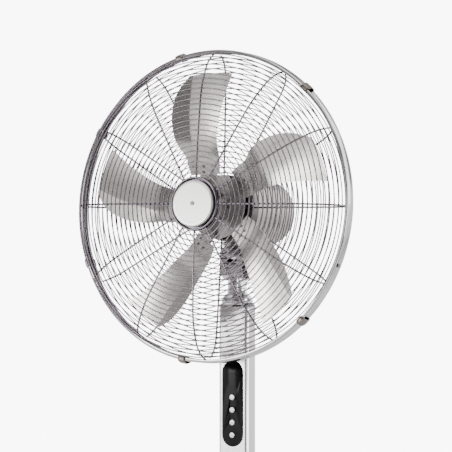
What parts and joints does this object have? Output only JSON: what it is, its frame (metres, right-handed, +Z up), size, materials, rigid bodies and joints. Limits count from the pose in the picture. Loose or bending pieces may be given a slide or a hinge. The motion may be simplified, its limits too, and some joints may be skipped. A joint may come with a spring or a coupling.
{
  "type": "pedestal fan",
  "caption": "Standing fan with a round base, telescopic pole, control column, and a wire-caged head that swings and tilts.",
  "frame": {"origin": "on the floor, on the pole's axis, at the centre of the object's footprint", "axes": "+Z up along the pole, the fan's face towards -Y, +X to the right of someone looking at its face"},
  "size_m": [0.47, 0.39, 1.2739],
  "materials": {
    "feet_rubber": "matt moulded rubber",
    "cast_weight": "rough black painted iron",
    "chrome_cover": "bright chrome on pressed steel",
    "chrome_turned": "bright chrome on turned steel",
    "chrome_tube": "bright chrome on drawn tube",
    "zinc_nut": "zinc plated steel",
    "bush_plastic": "natural acetal",
    "collar_plastic": "black moulded plastic",
    "column_silver": "satin silver casing",
    "screw_steel": "plated screws",
    "panel_black": "gloss black window",
    "button_grey": "metallised key caps",
    "board_green": "fibreglass board",
    "motor_can": "plated can",
    "inlet_rubber": "soft moulded gland",
    "gear_plastic": "white acetal",
    "neck_chrome": "chromed casting",
    "bracket_chrome": "chromed casting",
    "knob_black": "black moulded knob",
    "motor_black": "black enamel",
    "motor_grey": "grey metallic enamel",
    "lamination_steel": "stacked electrical steel",
    "coil_copper": "enamelled copper wire",
    "bearing_bronze": "sintered bronze",
    "guard_wire": "chromed steel wire",
    "badge_silver": "satin silver cap",
    "nut_plastic": "black moulded nut",
    "rim_steel": "bright steel band",
    "clip_steel": "plated spring steel",
    "shaft_steel": "ground steel",
    "rotor_aluminium": "cast cage and laminations",
    "hub_grey": "dark grey enamel",
    "blade_aluminium": "satin anodised aluminium"
  },
  "bodies": {
    "stand": {"rubber_feet": "feet_rubber", "base_weight": "cast_weight", "base_cover": "chrome_cover", "pole_socket": "chrome_turned", "pole_nut": "zinc_nut", "outer_pole": "chrome_tube", "guide_bush": "bush_plastic", "collet": "bush_plastic"},
    "height_collar": {"height_collar": "collar_plastic"},
    "column": {"inner_pole": "chrome_tube", "socket_plug": "collar_plastic", "column_front": "column_silver", "column_rear": "column_silver", "column_screws": "screw_steel", "control_panel": "panel_black", "circuit_board": "board_green", "column_cap": "collar_plastic", "swing_motor": "motor_can", "power_inlet": "inlet_rubber"},
    "button_power": {"button_power": "button_grey"},
    "button_speed": {"button_speed": "button_grey"},
    "button_swing": {"button_swing": "button_grey"},
    "button_timer": {"button_timer": "button_grey"},
    "swing_pinion": {"swing_pinion": "gear_plastic"},
    "neck": {"neck_casting": "neck_chrome", "swing_gear": "gear_plastic"},
    "tilt_knob": {"tilt_knob": "knob_black"},
    "head": {"tilt_bracket": "bracket_chrome", "tilt_bolt": "zinc_nut", "motor_front_cover": "motor_black", "motor_rear_cover": "motor_grey", "motor_screws": "screw_steel", "stator_core": "lamination_steel", "stator_windings": "coil_copper", "front_bearing": "bearing_bronze", "rear_bearing": "bearing_bronze", "front_rings_inner": "guard_wire", "front_rings_outer": "guard_wire", "front_guard_spokes": "guard_wire", "rear_rings_inner": "guard_wire", "rear_rings_outer": "guard_wire", "rear_guard_spokes": "guard_wire", "front_hub_plate": "guard_wire", "badge_disc": "badge_silver", "rear_guard_plate": "guard_wire", "guard_nut": "nut_plastic", "rim_band": "rim_steel", "rim_clips": "clip_steel", "trim_screws": "screw_steel"},
    "rotor": {"rotor_shaft": "shaft_steel", "rotor_core": "rotor_aluminium", "blade_hub": "hub_grey", "hub_screws": "screw_steel", "blade_rivets": "screw_steel", "hub_nut": "nut_plastic", "blade_1": "blade_aluminium", "blade_2": "blade_aluminium", "blade_3": "blade_aluminium", "blade_4": "blade_aluminium", "blade_5": "blade_aluminium"}
  },
  "joints": [
    {"name": "height_slide", "type": "slide", "parent": "stand", "child": "column", "axis": [0, 0, 1], "range_m": [0, 0.2]},
    {"name": "collar_twist", "type": "hinge", "parent": "stand", "child": "height_collar", "pos_m": [0, 0, 0.6], "axis": [0, 0, 1], "range_deg": [0, 60]},
    {"name": "button_power_press", "type": "slide", "parent": "column", "child": "button_power", "axis": [0, 1, 0], "range_m": [0, 0.0012], "stiffness_N_per_m": 400},
    {"name": "button_speed_press", "type": "slide", "parent": "column", "child": "button_speed", "axis": [0, 1, 0], "range_m": [0, 0.0012], "stiffness_N_per_m": 400},
    {"name": "button_swing_press", "type": "slide", "parent": "column", "child": "button_swing", "axis": [0, 1, 0], "range_m": [0, 0.0012], "stiffness_N_per_m": 400},
    {"name": "button_timer_press", "type": "slide", "parent": "column", "child": "button_timer", "axis": [0, 1, 0], "range_m": [0, 0.0012], "stiffness_N_per_m": 400},
    {"name": "head_swing", "type": "hinge", "parent": "column", "child": "neck", "pos_m": [0, 0, 0.891], "axis": [0, 0, 1], "range_deg": [-42, 42]},
    {"name": "pinion_spin", "type": "hinge", "parent": "column", "child": "swing_pinion", "pos_m": [0.0144, 0, 0.85], "axis": [0, 0, 1], "range_deg": [-90, 90]},
    {"name": "head_tilt", "type": "hinge", "parent": "neck", "child": "head", "pos_m": [0, 0, 0.944], "axis": [-1, 0, 0], "range_deg": [-14, 16]},
    {"name": "tilt_knob_turn", "type": "hinge", "parent": "head", "child": "tilt_knob", "pos_m": [0.0193, 0, 0.944], "axis": [1, 0, 0], "range_deg": [0, 180]},
    {"name": "blade_spin", "type": "hinge", "parent": "head", "child": "rotor", "pos_m": [0, 0.00628, 1.03378], "axis": [0, -0.9976, 0.0698], "continuous": true}
  ],
  "couplings": [
    {"joint": "pinion_spin", "follows": "head_swing", "ratio": -2}
  ]
}
